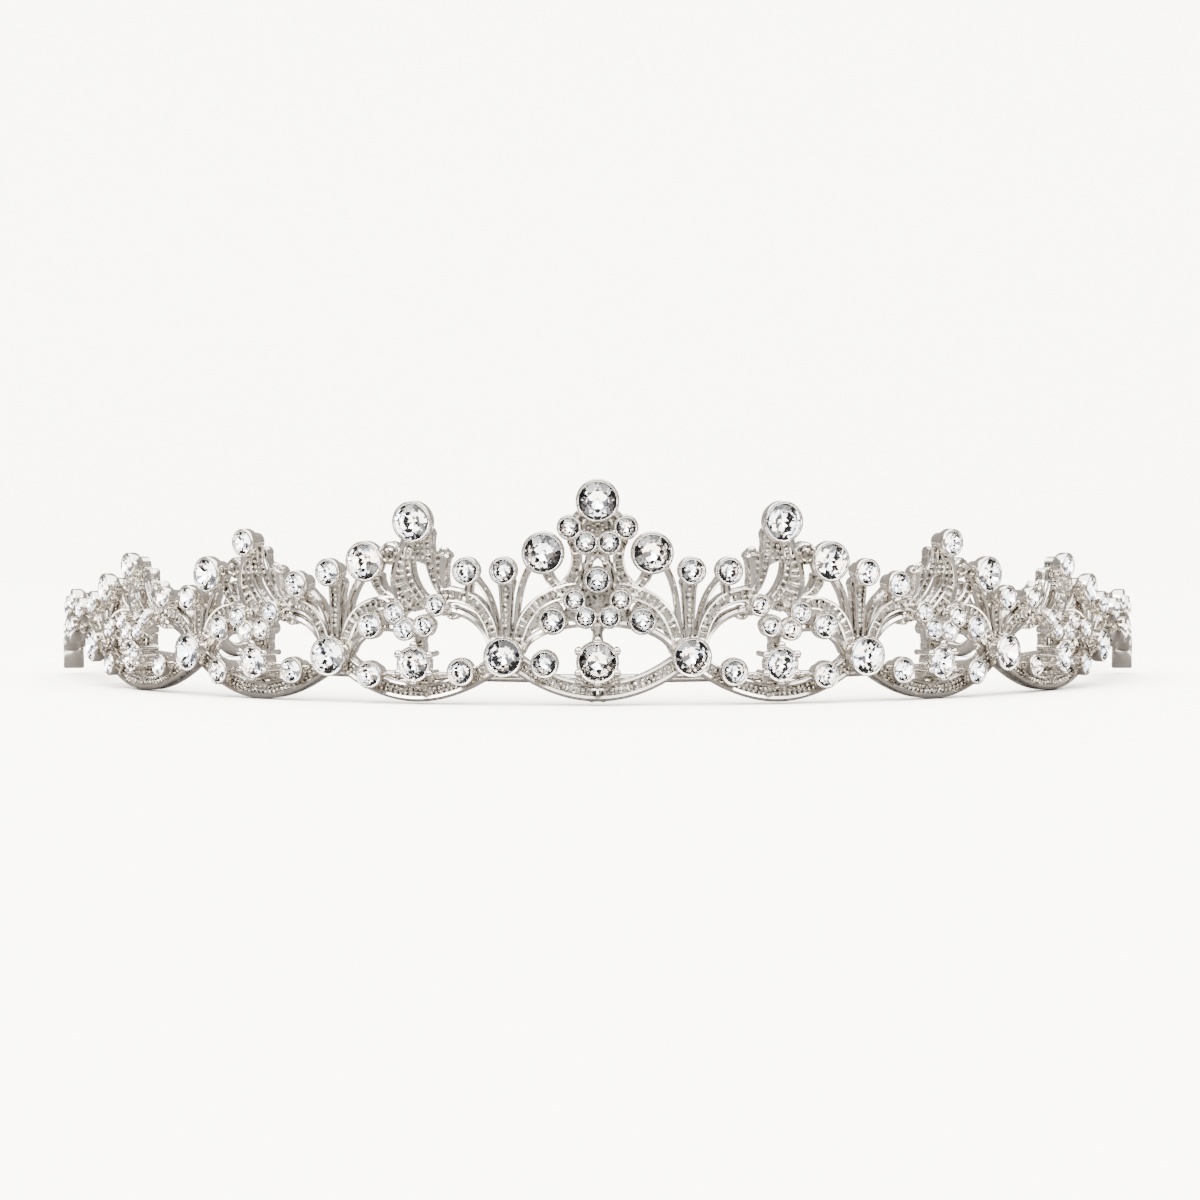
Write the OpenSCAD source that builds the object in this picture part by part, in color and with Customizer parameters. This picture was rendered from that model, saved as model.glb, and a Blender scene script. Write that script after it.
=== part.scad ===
// Rhinestone crown headband: a pierced casting set with round stones, soldered to the
// outside of a round headband that ends in two ring loops.
// The band lies level round the Z axis with its front towards -Y. Places on the casting are
// given as arc length along the front and height above the band, and are then wrapped
// round the band's axis.

/* [Band] */
// Radius of the headband's centre line
band_r = 68.5; // [60:0.5:80]
// Width of the headband strip, measured outwards
band_w = 1.9; // [1.4:0.1:2.4]
// Height of the headband strip
band_t = 1.05; // [0.9:0.05:1.4]
// Angle from the front to each end of the headband
band_end = 125; // [110:1:140]

/* [End rings] */
// Outer diameter of each ring loop
ring_d = 11.2; // [9:0.1:13]
// Thickness of the ring's wire
ring_wire = 2; // [1.6:0.1:2.4]
// Distance from the end of the headband to the ring's centre, along the band
ring_reach = 5.5; // [4.5:0.1:6.5]
// How far the ring's centre hangs below the band
ring_drop = 2.2; // [0:0.1:3]
// Diameter of the solder ball where the ring meets the headband
solder_d = 2.6; // [2.2:0.1:3]

/* [Casting] */
// Gap between the casting's back and the headband, and between neighbouring pieces of the casting
piece_gap = 0.1; // [0.05:0.01:0.2]
// Thickness of the casting's open work
work_t = 1.9; // [1.4:0.1:2.4]
// Height of the raised rims and ribs above the sunk grounds
relief = 0.35; // [0.2:0.05:0.5]
// Width of each raised rim
rim_w = 0.4; // [0.3:0.05:0.6]
// Height of the bezel cups above the casting's face
cup_h = 2.3; // [1.5:0.1:3]
// Thickness of a cup's polished lip
lip = 0.4; // [0.3:0.01:0.5]
// Height of the junction stones above the band at the front
base_front = 3.2; // [2:0.1:4]
// How much lower the casting's last stone sits than the front ones
base_fall = 4; // [2:0.1:5]

/* [Stones] */
// Clearance round and behind each stone
seat_gap = 0.1; // [0.05:0.01:0.15]
// Height of a stone's crown, as a share of its radius
crown = 0.3; // [0.2:0.05:0.4]
// Radius of a stone's flat table, as a share of its radius
table = 0.58; // [0.5:0.01:0.65]

/* [Seat] */
// Tilt of the band when it rests on its two rings and the casting's lower edge
seat_tilt = 2.3; // [0:0.1:4]
// Height of the band's centre above the surface at the band's axis
seat_lift = 6.05; // [5:0.05:8]
// Distance that brings the middle of the whole crown over the origin
seat_back = 12.8; // [0:0.05:20]

/* [Hidden] */
back_r = band_r + band_w / 2 + piece_gap;
face_r = back_r + work_t - relief;
rim_r = face_r + relief;
cup_foot_r = back_r + 0.7;
cup_r = face_r + cup_h;
deg = 180 / (PI * rim_r);

// Angles of the junction stones from the front, and of the last stone
JOINTS = [9.3, 27.8, 46.4, 67, 88];
// Half the width of the first side motif, to which the others are stretched
half_w = (JOINTS[1] - JOINTS[0]) / 2 / deg;

// Columns of a strand: start u, start v, bend u, bend v, end u, end v, start width, end width
// u is arc length from the motif's centre, outwards; v is height above its junction stones
ARCHES = [
    [-10.2, 1.2, -9.2, 8.2, -3.2, 7.6, 1.5, 1.9],
    [10.2, 1.2, 9.2, 7.2, 3.0, 6.6, 1.5, 1.9],
    [-10.0, 0.2, -7.2, 5.2, -1.6, 3.6, 0.8, 1.0],
    [10.0, 0.2, 7.2, 4.8, 1.2, 3.0, 0.8, 1.0]];
CENTRE_ARCHES = [
    [-10.2, 1.2, -9.4, 7.6, -2.6, 8.2, 1.5, 2.0],
    [-10.0, 0.2, -8.0, 4.0, 0, 4.2, 0.8, 0.9]];
SIDE_STRANDS = [
    [-10.4, 1.8, -10.2, 7.6, -7.2, 9.8, 0.7, 0.8],
    [-6.4, 6.8, -6.6, 8.4, -6.8, 9.4, 1.3, 0.9],
    [10.4, 1.8, 10.2, 8.0, 7.4, 10.4, 0.7, 0.9],
    [-4.2, 6.8, -1.2, 10.0, -1.3, 15.9, 1.3, 1.2],
    [-1.8, 6.0, 3.4, 10.6, -0.1, 15.9, 1.2, 1.2],
    [1.6, 5.6, 5.2, 9.2, 1.0, 15.7, 1.3, 1.0],
    [2.4, 6.8, 5.4, 7.4, 5.8, 10.2, 1.2, 1.5],
    [-3.4, 8.6, -3.2, 12.4, -3.9, 12.9, 1.0, 1.5],
    [-1.2, 12.6, 1.0, 12.2, 2.4, 12.0, 1.8, 1.4]];
CENTRE_STRANDS = [
    [-10.4, 1.8, -10.4, 10.0, -7.6, 12.2, 0.7, 0.9],
    [-5.0, 7.8, -1.4, 10.6, -3.3, 14.8, 1.7, 1.2],
    [-4.9, 8.4, -6.4, 9.6, -6.6, 11.8, 1.2, 1.4],
    [-1.8, 8.8, -1.0, 11.0, -0.8, 14.2, 0.9, 1.3],
    [-3.4, 15.6, -1.6, 17.6, -0.9, 18.4, 1.2, 1.4]];
END_STRANDS = [
    [-11.2, 0.6, -8.6, 5.6, -2.4, 5.2, 1.4, 1.5],
    [-10.9, -0.2, -5.6, 3.4, 0, 2.0, 0.8, 0.9],
    [-2.6, 5.0, 3.6, 6.2, 7.2, 0.8, 1.4, 1.2],
    [0.6, 1.8, 4.0, 2.6, 8.6, 0.2, 1.0, 1.2]];

// Columns of a main stone in a side motif: name, u, v, radius
SIDE_MAIN = [["peak_stone", 0, 17.0, 2.3], ["large_stone", 6.4, 12.0, 2.25], ["prong_stone", -0.2, -0.9, 1.95]];
// Columns of a small stone: u, v, radius
SIDE_SMALL = [[-6.9, 10.8, 1.45], [2.4, 5.6, 1.15], [1.1, 3.5, 1.15], [-1.5, 3.9, 1.15], [-3.0, 6.5, 1.1],
    [5.7, 3.9, 1.4], [5.8, -2.3, 1.45], [-6.2, -1.9, 1.45]];
CENTRE_SMALL = [[-3.45, 16.2, 1.25], [3.45, 16.2, 1.25], [-1.45, 14.3, 1.25], [1.45, 14.3, 1.25],
    [0, 9.6, 1.4], [-2.8, 7.1, 1.15], [2.8, 7.1, 1.15], [-1.45, 4.95, 1.15], [1.45, 4.95, 1.15],
    [-5.5, 4.5, 1.45], [5.5, 4.5, 1.45], [-6.5, -0.9, 1.45]];
END_SMALL = [[-6.2, 4.6, 1.25], [-2.2, 5.6, 1.25], [3.2, 4.4, 1.3], [-0.6, 1.6, 1.4], [6.3, 1.2, 1.2]];
// Columns of a centre stone: name, u, v, radius
CENTRE_MAIN = [["top_stone", 0, 19.5, 2.4], ["large_stone_centre_left", -6.7, 13.0, 2.35],
    ["large_stone_centre_right", 6.7, 13.0, 2.35], ["prong_stone_centre", 0, -0.7, 2.35]];
// Columns of a junction: radius of its stone, height and radius of the stone on the stem above it
JUNCTIONS = [[2.2, 10.8, 1.45], [2.2, 10.6, 1.45], [2.1, 7.0, 1.35], [1.9, 5.6, 1.3]];
end_stone_rad = 1.55;

// Columns of a side motif: height share of its upper parts, radius share of its peak stone, of its
// large stone, how far the peak and large stones lean outwards, radius share of its small stones
MOTIFS = [[1, 1, 1, 0, 1], [0.84, 0.62, 0.9, 1.4, 0.95], [0.64, 0.6, 0.75, 0.6, 0.78]];

// How far a front swag's middle hangs below its junction stones, and how much less per degree
// beyond the second side motif
sag = 4.7;
sag_fall = 0.017;
swag_w = 2.3;
foot_w = 2.6;
stem_w = 2.0;
solder_w = 2.2;
solder_t = 0.3;
// Distance of a wide strand's ribs from its edges
rib_in = 0.4;
// The round wall that open work is cut from
wall_reach = 4;
wall_half = 20;
wall_low = 9;
wall_top = 26;
// Depth of a cup's seat and of a stone's widest line below the cup's edge, as shares of the radius
seat_depth = 0.6;
girdle = 0.05;
clip_t = 0.7;
clip_reach = 4.6;

// Height of the junction line above the band at arc length s
function base_h(s) = base_front - base_fall * pow(abs(s) * deg / JOINTS[4], 1.5);
// Arc length of the centre of side motif i, and its stretch
function motif_s(i) = (JOINTS[i] + JOINTS[i + 1]) / 2 / deg;
function motif_k(i) = (JOINTS[i + 1] - JOINTS[i]) / 2 / deg / half_w;
// Place of a motif's own u and v on the casting, as arc length and height
function spot(sc, ku, kv, u, v) =
    let(s = sc + ku * u) [s, base_h(s) + (v > 0 ? kv * v : v)];
// Quadratic curve through a strand's row
function bend(row, t) = [for (k = [0, 1])
    (1 - t) * (1 - t) * row[k] + 2 * t * (1 - t) * row[2 + k] + t * t * row[4 + k]];
// Direction across a path at point i
function across(path, i) =
    let(a = path[max(i - 1, 0)], b = path[min(i + 1, len(path) - 1)], d = (b - a) / norm(b - a))
    [-d[1], d[0]];
// Outline of a strand in the plane of its motif, from both sides of its path
module strand(path, w0, w1) {
    n = len(path);
    w = [for (i = [0:n - 1]) (w0 + (w1 - w0) * i / (n - 1)) / 2];
    polygon(concat([for (i = [0:n - 1]) path[i] + w[i] * across(path, i)],
        [for (i = [n - 1:-1:0]) path[i] - w[i] * across(path, i)]));
}

// A path moved sideways by off, with its two ends drawn in a little
function beside(path, off) =
    let(n = len(path) - 1)
    [for (i = [0:n]) let(p = path[i] + off * across(path, i))
        i == 0 ? p + 0.15 * (path[1] - path[0]) : i == n ? p - 0.15 * (path[n] - path[n - 1]) : p];

// Outlines of the raised ribs on a strand: two along a wide one, one along a narrow one
module ribs(path, w) {
    if (w > 1.2) for (edge = [-1, 1]) strand(beside(path, edge * (w / 2 - rib_in)), rim_w, rim_w);
    else strand(beside(path, 0), rim_w, rim_w);
}

// Cuts the children's outline out of a round wall between two radii, facing arc length s
module open_work(s, r0, r1) intersection() {
    rotate([0, 0, s * deg]) rotate([90, 0, 0]) translate([0, 0, r0 - wall_reach])
        linear_extrude(r1 - r0 + 1.5 * wall_reach) translate([-s, 0]) children();
    rotate([0, 0, 270 + s * deg - wall_half]) rotate_extrude(angle = 2 * wall_half, $fn = 96)
        translate([r0, -wall_low]) square([r1 - r0, wall_low + wall_top]);
}

// The path of a strand's row in a motif, in n steps, its upper part leaning with the peak
function row_path(row, sc, ku, kv, lean, n = 3) =
    [for (i = [0:n]) let(p = bend(row, i / n), up = max(0, min(1, (p[1] - 8) / 7)))
        spot(sc, ku, kv, p[0] + lean * up, p[1])];

// Depth of the swag centred at arc length s, and its path as an arc of places
function hang(s) = sag - sag_fall * max(0, s * deg - 37);
function swag_path(sc, ku, n = 6) =
    [for (i = [0:n]) let(u = half_w * (2 * i / n - 1))
        spot(sc, ku, 1, u, -hang(sc) * (1 - pow(u / half_w, 2)))];

// Puts a cup or a stone at a place, with its axis pointing out from the band's axis
module outward(p) {
    rotate([0, 0, p[0] * deg]) translate([0, 0, p[1]]) rotate([90, 0, 0]) children();
}

// A bezel cup that tapers back to the open work, with an open seat for its stone
module cup(p, rad) {
    outward(p) difference() {
        translate([0, 0, cup_foot_r])
            cylinder(h = cup_r - cup_foot_r, r1 = 0.78 * rad, r2 = rad + lip, $fn = 32);
        translate([0, 0, cup_r - seat_depth * rad])
            cylinder(h = seat_depth * rad + 0.01, r1 = 0.72 * rad, r2 = rad + seat_gap, $fn = 32);
    }
}

// A cut stone, where a pavilion cone and a crown cone of eight sides meet at its widest line
module stone(p, rad) {
    body_rad = rad - seat_gap / 2;
    low = (seat_depth - girdle) * rad - seat_gap;
    high = crown * rad;
    outward(p) rotate([0, 0, 22.5]) translate([0, 0, cup_r - girdle * rad - low]) intersection() {
        cylinder(h = low + high, r1 = 0.64 * body_rad, r2 = (1 + 0.36 * high / low) * body_rad, $fn = 8);
        cylinder(h = low + high, r1 = body_rad + (body_rad - table * rad) * low / high, r2 = table * rad,
            $fn = 8);
    }
}

// Six prongs round a prong stone
module prongs(p, rad) {
    for (a = [30:60:330])
        outward(p + (rad + 0.3) * [cos(a), sin(a)]) translate([0, 0, cup_foot_r])
            cylinder(h = cup_r + 0.3 - cup_foot_r, r = 0.42, $fn = 16);
}

// Outlines of the foot that carries a prong stone from its swag, and of the lug above it
module prong_foot(p, rad, low, high) {
    strand([low, p - [0, 0.4 * rad]], foot_w, 0.7 * foot_w);
    strand([p + [0, 0.6 * rad], high], 1.2, 1.3);
}

// Outlines of the stem that rises from a junction to its stem stone, and of the rib along it
module stem(i) {
    p = junction_spot(i);
    top = JUNCTIONS[i][1] - 0.6 * JUNCTIONS[i][2];
    strand([p + [0, 1], p + [0, top]], 0.9, stem_w);
}
module stem_rib(i) {
    p = junction_spot(i);
    strand([p + [0, 2], p + [0, JUNCTIONS[i][1] - JUNCTIONS[i][2]]], rim_w, 1.4 * rim_w);
}
module junction(i) {
    p = junction_spot(i);
    open_work(p[0], back_r + 0.04, face_r + 0.06) stem(i);
    open_work(p[0], back_r + relief, rim_r - 0.05) stem_rib(i);
    cup(p, JUNCTIONS[i][0]);
    cup(p + [0, JUNCTIONS[i][1]], JUNCTIONS[i][2]);
}

// Outline of what belongs to the next piece: the stone and stem of junction i, and all beyond them
module next_piece(side, i) {
    p = junction_spot(i);
    translate([side * p[0], p[1]]) {
        circle(r = JUNCTIONS[i][0] + lip + piece_gap, $fn = 48);
        mirror([side < 0 ? 1 : 0, 0]) {
            translate([-stem_w / 2 - 0.5, 0]) square([wall_reach, wall_top]);
            translate([0, -wall_low]) square([wall_reach, wall_low]);
        }
    }
}

// A motif's open work with its raised ribs, cut back from the junctions of the pieces beside it
module motif(sc, ku, kv, lean, channels, strands, next) {
    open_work(sc, back_r, face_r) difference() {
        union() {
            strand(swag_path(sc, ku), swag_w, swag_w);
            for (row = channels) strand(row_path(row, sc, ku, kv, lean), row[6], row[7]);
            for (row = strands) strand(row_path(row, sc, ku, kv, lean), row[6], row[7]);
            children();
        }
        for (row = next) next_piece(row[0], row[1]);
    }
    open_work(sc, back_r + relief, rim_r - 0.02) difference() {
        union() {
            strand(beside(swag_path(sc, ku), 0.65), rim_w, rim_w);
            strand(beside(swag_path(sc, ku), -0.6), 1.4 * rim_w, 1.4 * rim_w);
            for (row = channels) ribs(row_path(row, sc, ku, kv, lean), min(row[6], row[7]));
        }
        for (row = next) next_piece(row[0], row[1]);
    }
}

module side_motif(i) {
    sc = motif_s(i);
    ku = motif_k(i);
    kv = MOTIFS[i][0];
    p = side_spot(i, 2);
    motif(sc, ku, kv, MOTIFS[i][3], ARCHES, SIDE_STRANDS, 
        [[-1, i]])
        prong_foot(p, side_rad(i, 2), spot(sc, ku, kv, 0, -hang(sc)), spot(sc, ku, kv, 0, 4));
    junction(i + 1);
    for (j = [0:2]) cup(side_spot(i, j), side_rad(i, j));
    prongs(p, side_rad(i, 2));
    for (row = SIDE_SMALL) cup(spot(sc, ku, kv, row[0], row[1]), row[2] * MOTIFS[i][4]);
}

// Place and radius of main stone j in side motif i
function side_spot(i, j) = spot(motif_s(i), motif_k(i), MOTIFS[i][0],
    SIDE_MAIN[j][1] + (j < 2 ? MOTIFS[i][3] : 0), SIDE_MAIN[j][2]);
function junction_spot(i) = [JOINTS[i] / deg, base_h(JOINTS[i] / deg)];
function side_rad(i, j) = SIDE_MAIN[j][3] * (j < 2 ? MOTIFS[i][1 + j] : 1 - 0.06 * i);

// The centre motif is drawn whole: each row stands for itself and its mirror image
function both(rows) = [for (side = [-1, 1], row = rows)
    [for (k = [0:7]) k < 6 && k % 2 == 0 ? side * row[k] : row[k]]];

module centre_motif() {
    p = spot(0, 1, 1, CENTRE_MAIN[3][1], CENTRE_MAIN[3][2]);
    motif(0, 1, 1, 0, both(CENTRE_ARCHES), both(CENTRE_STRANDS), [])
        prong_foot(p, CENTRE_MAIN[3][3], spot(0, 1, 1, 0, -sag), spot(0, 1, 1, 0, 4.2));
    for (side = [0, 1]) mirror([side, 0, 0]) junction(0);
    for (row = CENTRE_MAIN) cup(spot(0, 1, 1, row[1], row[2]), row[3]);
    prongs(p, CENTRE_MAIN[3][3]);
    for (row = CENTRE_SMALL) cup(spot(0, 1, 1, row[0], row[1]), row[2]);
}

// The last motif runs out in a short tail with a flat lug under it
module end_motif() {
    sc = motif_s(3);
    ku = motif_k(3);
    motif(sc, ku, 1, 0, END_STRANDS, [], [[-1, 3]]);
    for (row = END_SMALL) cup(spot(sc, ku, 1, row[0], row[1]), row[2]);
    s_end = JOINTS[4] / deg;
    cup([s_end, base_h(s_end)], end_stone_rad);
    end_lug(s_end);
}

// Flat lug below the end of the casting, with its small hole
module end_lug(s) {
    difference() {
        rotate([0, 0, (s + 1.2) * deg]) translate([0, -rim_r - 1.1, base_h(s) - 2.2])
            cube([1.1, 2.8, 4.2], center = true);
        rotate([0, 0, (s + 1.2) * deg]) translate([0, -rim_r - 1.1, base_h(s) - 1.6])
            rotate([0, 90, 0]) cylinder(h = 3, d = 0.6, center = true, $fn = 16);
    }
}

// Leaf-shaped clip that reaches in under the headband below the fourth junction
module leaf_clip() {
    rotate([0, 0, JOINTS[3] - 1]) translate([0, -back_r - 0.9, -band_t / 2 - piece_gap - clip_t]) difference() {
        union() {
            linear_extrude(clip_t) polygon([[-0.5, 0], [0.5, 0], [0.8, 1.6], [0.5, 4.4], [-0.5, 4.4], [-0.8, 1.6]]);
            translate([0, clip_reach, 0]) cylinder(h = clip_t, r = 0.95, $fn = 24);
        }
        translate([0, clip_reach, -1]) cylinder(h = 3, r = 0.35, $fn = 16);
    }
}

// The headband strip with its two ring loops and the solder behind each swag, all one piece
module headband() color("gainsboro") seated() {
    flat = (band_w - band_t) / 2;
    rotate([0, 0, 270 - band_end]) rotate_extrude(angle = 2 * band_end, $fn = 96)
        translate([band_r, 0]) {
            translate([-flat, 0]) circle(d = band_t, $fn = 24);
            translate([flat, 0]) circle(d = band_t, $fn = 24);
            square([2 * flat, band_t], center = true);
        }
    for (side = [0, 1]) mirror([side, 0, 0]) rotate([0, 0, band_end]) translate([0, -band_r, 0]) {
        sphere(d = solder_d, $fn = 32);
        translate([ring_reach, 0, -ring_drop]) rotate([90, 0, 0]) rotate_extrude($fn = 64)
            translate([ring_d / 2 - ring_wire / 2, 0]) circle(d = ring_wire, $fn = 24);
    }
    for (side = [-1, 1], i = [-1:3]) rotate([0, 0, side * (i < 0 ? 0 : motif_s(i) * deg)])
        translate([-solder_w / 2, -band_r - band_w / 2, -band_t / 2 - solder_t])
            cube([solder_w, 0.8, solder_t + 0.3]);
}

module seated() {
    translate([0, seat_back, seat_lift]) rotate([seat_tilt, 0, 0]) children();
}

module casting_centre() color("silver") seated() centre_motif();
module casting(side, i) color("silver") seated() mirror([side < 0 ? 1 : 0, 0, 0]) {
    if (i < 3) side_motif(i);
    if (i == 2) leaf_clip();
    if (i == 3) end_motif();
}

module stone_at(side, p, rad) color("lightcyan") seated() mirror([side < 0 ? 1 : 0, 0, 0]) stone(p, rad);

module centre_stone(j) {
    row = CENTRE_MAIN[j];
    stone_at(1, spot(0, 1, 1, row[1], row[2]), row[3]);
}
module junction_stone(side, i) stone_at(side, junction_spot(i), JUNCTIONS[i][0]);
module stem_stone(side, i) stone_at(side, junction_spot(i) + [0, JUNCTIONS[i][1]], JUNCTIONS[i][2]);
module side_stone(side, i, j) stone_at(side, side_spot(i, j), side_rad(i, j));
module end_stone(side) {
    s = JOINTS[4] / deg;
    stone_at(side, [s, base_h(s)], end_stone_rad);
}

module small_stones(side) color("lightcyan") seated() {
    for (row = CENTRE_SMALL) if (row[0] == 0 ? side > 0 : row[0] * side > 0)
        stone(spot(0, 1, 1, row[0], row[1]), row[2]);
    mirror([side < 0 ? 1 : 0, 0, 0]) {
        for (i = [0:2]) for (row = SIDE_SMALL)
            stone(spot(motif_s(i), motif_k(i), MOTIFS[i][0], row[0], row[1]), row[2] * MOTIFS[i][4]);
        for (row = END_SMALL) stone(spot(motif_s(3), motif_k(3), 1, row[0], row[1]), row[2]);
    }
}

headband();
casting_centre();
for (j = [0:3]) centre_stone(j);
for (k = [0:1]) {
    side = 2 * k - 1;
    word = ["left", "right"][k];
    for (i = [0:3]) {
        casting(side, i);
        junction_stone(side, i);
        stem_stone(side, i);
    }
    for (i = [0:2]) for (j = [0:2])
        side_stone(side, i, j);
    end_stone(side);
    small_stones(side);
}
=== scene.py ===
# %% [markdown]
# A crown headband is cast flat in a silver-coloured zinc alloy, bent round a strip of steel,
# soldered to it, plated with rhodium, and set with round cut glass stones. This lesson follows
# the same order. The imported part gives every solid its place, and its strip with the two rings
# stays in view. The casting and the stones are modelled here with all their detail. The casting
# lies flat while it is made and is bent round the band in one step, as the goldsmith's is.

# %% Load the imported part
import math

import bpy
from mathutils import Matrix, Vector


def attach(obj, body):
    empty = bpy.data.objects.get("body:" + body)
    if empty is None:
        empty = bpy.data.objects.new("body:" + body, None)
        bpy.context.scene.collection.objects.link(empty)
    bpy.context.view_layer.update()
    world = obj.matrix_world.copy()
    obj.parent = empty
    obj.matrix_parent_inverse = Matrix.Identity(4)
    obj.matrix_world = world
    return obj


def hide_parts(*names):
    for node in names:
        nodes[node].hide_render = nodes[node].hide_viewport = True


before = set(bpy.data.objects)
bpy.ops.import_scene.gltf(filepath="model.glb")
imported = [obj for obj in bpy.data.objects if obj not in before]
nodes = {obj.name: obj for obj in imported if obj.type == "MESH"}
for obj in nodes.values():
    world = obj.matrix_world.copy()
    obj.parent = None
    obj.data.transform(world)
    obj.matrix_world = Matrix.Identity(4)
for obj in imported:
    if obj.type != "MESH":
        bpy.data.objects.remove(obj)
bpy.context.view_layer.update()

# %% [markdown]
# The casting's own plan is drawn in millimetres: s is arc length along the front, h is height
# above the band, and the relief is measured outwards. Blender works in metres, so one constant
# turns millimetres into metres. These are the same named sizes as in the part's source.

# %% Sizes of the crown
MM = 0.001
# Radii from the band's axis: the casting's back and sunk face, its rims, and the stones' edges
BACK_R = 69.55
FACE_R = 71.1
RIM_R = 71.45
CUP_R = 73.4
SWAG_W = 2.3
# Angles of the junctions between the motifs, in degrees from the front
JOINTS = [9.3, 27.8, 46.4, 67, 88]
# Height of the junctions at the front, and how far they come down towards the ends
BASE_FRONT = 3.2
BASE_FALL = 4
# Arc length of one degree
ARC = math.pi * RIM_R / 180
HALF_W = (JOINTS[1] - JOINTS[0]) / 2 * ARC
# Where the crown stands on the table, tilted back a little because its rings are lower
AXIS_Y = 12.8 * MM
SEAT = (Matrix.Translation((0, AXIS_Y, 6.05 * MM))
        @ Matrix.Rotation(math.radians(2.3), 4, "X"))
print("half width of a motif in mm:", round(HALF_W, 2))


# %% [markdown]
# The casting is a row of motifs between junctions. Each motif has a small plan of its own, with
# u across it and v upwards from the junctions' height. The side motifs stretch that plan to their
# own width and height, so the same lists of strands and stones serve all of them.

# %% Places on the casting
def base_h(s):
    """Height of the junctions at arc length s."""
    return BASE_FRONT - BASE_FALL * (abs(s) / ARC / JOINTS[4]) ** 1.5


def hang(s):
    """How far a swag hangs below its junctions: a little less beyond 37 degrees from the front."""
    return 4.7 - 0.017 * max(0, s / ARC - 37)


def motif_s(i):
    """Arc length of the middle of side motif i."""
    return (JOINTS[i] + JOINTS[i + 1]) / 2 * ARC


def motif_k(i):
    """Width of side motif i, as a share of the first one's."""
    return (JOINTS[i + 1] - JOINTS[i]) / 2 * ARC / HALF_W


# Columns: share of height, of the peak stone, of the large stone, lean in mm, share of the small stones
MOTIFS = [[1, 1, 1, 0, 1], [0.84, 0.62, 0.9, 1.4, 0.95], [0.64, 0.6, 0.75, 0.6, 0.78], [1, 1, 1, 0, 1]]


def spot(i, u, v, lean=True):
    """Flat place, in mm, of a motif's own u and v. Its top leans. Motif -1 is the centre one."""
    if i < 0:
        return (u, base_h(u) + v)
    shift = MOTIFS[i][3] * max(0, min(1, (v - 8) / 7)) if lean else 0
    s = motif_s(i) + motif_k(i) * (u + shift)
    return (s, base_h(motif_s(i) + motif_k(i) * u) + (v * MOTIFS[i][0] if v > 0 else v))


print("middle of the first side motif:", [round(c, 2) for c in spot(0, 0, 0)])

# %% [markdown]
# Stones are known by their place and radius. Each list below holds the same rows of u, v and
# radius as the part's source, so that every stone, bezel and claw can be made in a loop. A row
# of JUNCTIONS is a junction stone's radius, and the height and radius of the stone on its stem.

# %% Stones and where they sit
SIDE_MAIN = {"peak_stone": (0, 17.0, 2.3), "large_stone": (6.4, 12.0, 2.25),
             "prong_stone": (-0.2, -0.9, 1.95)}
SIDE_SMALL = [(-6.9, 10.8, 1.45), (2.4, 5.6, 1.15), (1.1, 3.5, 1.15), (-1.5, 3.9, 1.15), (-3.0, 6.5, 1.1),
              (5.7, 3.9, 1.4), (5.8, -2.3, 1.45), (-6.2, -1.9, 1.45)]
CENTRE_SMALL = [(-3.45, 16.2, 1.25), (3.45, 16.2, 1.25), (-1.45, 14.3, 1.25), (1.45, 14.3, 1.25),
                (0, 9.6, 1.4), (-2.8, 7.1, 1.15), (2.8, 7.1, 1.15), (-1.45, 4.95, 1.15), (1.45, 4.95, 1.15),
                (-5.5, 4.5, 1.45), (5.5, 4.5, 1.45), (-6.5, -0.9, 1.45)]
END_SMALL = [(-6.2, 4.6, 1.25), (-2.2, 5.6, 1.25), (3.2, 4.4, 1.3), (-0.6, 1.6, 1.4), (6.3, 1.2, 1.2)]
CENTRE_MAIN = {"top_stone": (0, 19.5, 2.4), "large_stone_centre_left": (-6.7, 13.0, 2.35),
               "large_stone_centre_right": (6.7, 13.0, 2.35), "prong_stone_centre": (0, -0.7, 2.35)}
JUNCTIONS = [(2.2, 10.8, 1.45), (2.2, 10.6, 1.45), (2.1, 7.0, 1.35), (1.9, 5.6, 1.3)]
END_RAD = 1.55
PRONG_FALL = 0.06


def main_spot(i, name):
    """Place and radius of a main stone of side motif i, on the right."""
    u, v, rad = SIDE_MAIN[name]
    lean = MOTIFS[i][3] if name != "prong_stone" else 0
    shares = {"peak_stone": MOTIFS[i][1], "large_stone": MOTIFS[i][2], "prong_stone": 1 - PRONG_FALL * i}
    s = motif_s(i) + motif_k(i) * (u + lean)
    return (s, base_h(s) + (v * MOTIFS[i][0] if v > 0 else v), rad * shares[name])


stones = {name: (u, base_h(u) + v, rad) for name, (u, v, rad) in CENTRE_MAIN.items()}
small = {"left": [], "right": []}
for u, v, rad in CENTRE_SMALL:
    small["right" if u >= 0 else "left"].append((u, base_h(u) + v, rad))
for word, side in (("left", -1), ("right", 1)):
    for i, (rad, rise, top_rad) in enumerate(JUNCTIONS):
        s = JOINTS[i] * ARC
        stones[f"junction_stone_{word}_{i + 1}"] = (side * s, base_h(s), rad)
        stones[f"stem_stone_{word}_{i + 1}"] = (side * s, base_h(s) + rise, top_rad)
    for i in range(3):
        for name in SIDE_MAIN:
            s, h, rad = main_spot(i, name)
            stones[f"{name}_{word}_{i + 1}"] = (side * s, h, rad)
        for u, v, rad in SIDE_SMALL:
            s, h = spot(i, u, v, lean=False)
            small[word].append((side * s, h, rad * MOTIFS[i][4]))
    for u, v, rad in END_SMALL:
        s, h = spot(3, u, v, lean=False)
        small[word].append((side * s, h, rad))
    s = JOINTS[4] * ARC
    stones[f"end_stone_{word}"] = (side * s, base_h(s), END_RAD)
print("main stones:", len(stones), "small stones:", len(small["left"]) + len(small["right"]))


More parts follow.
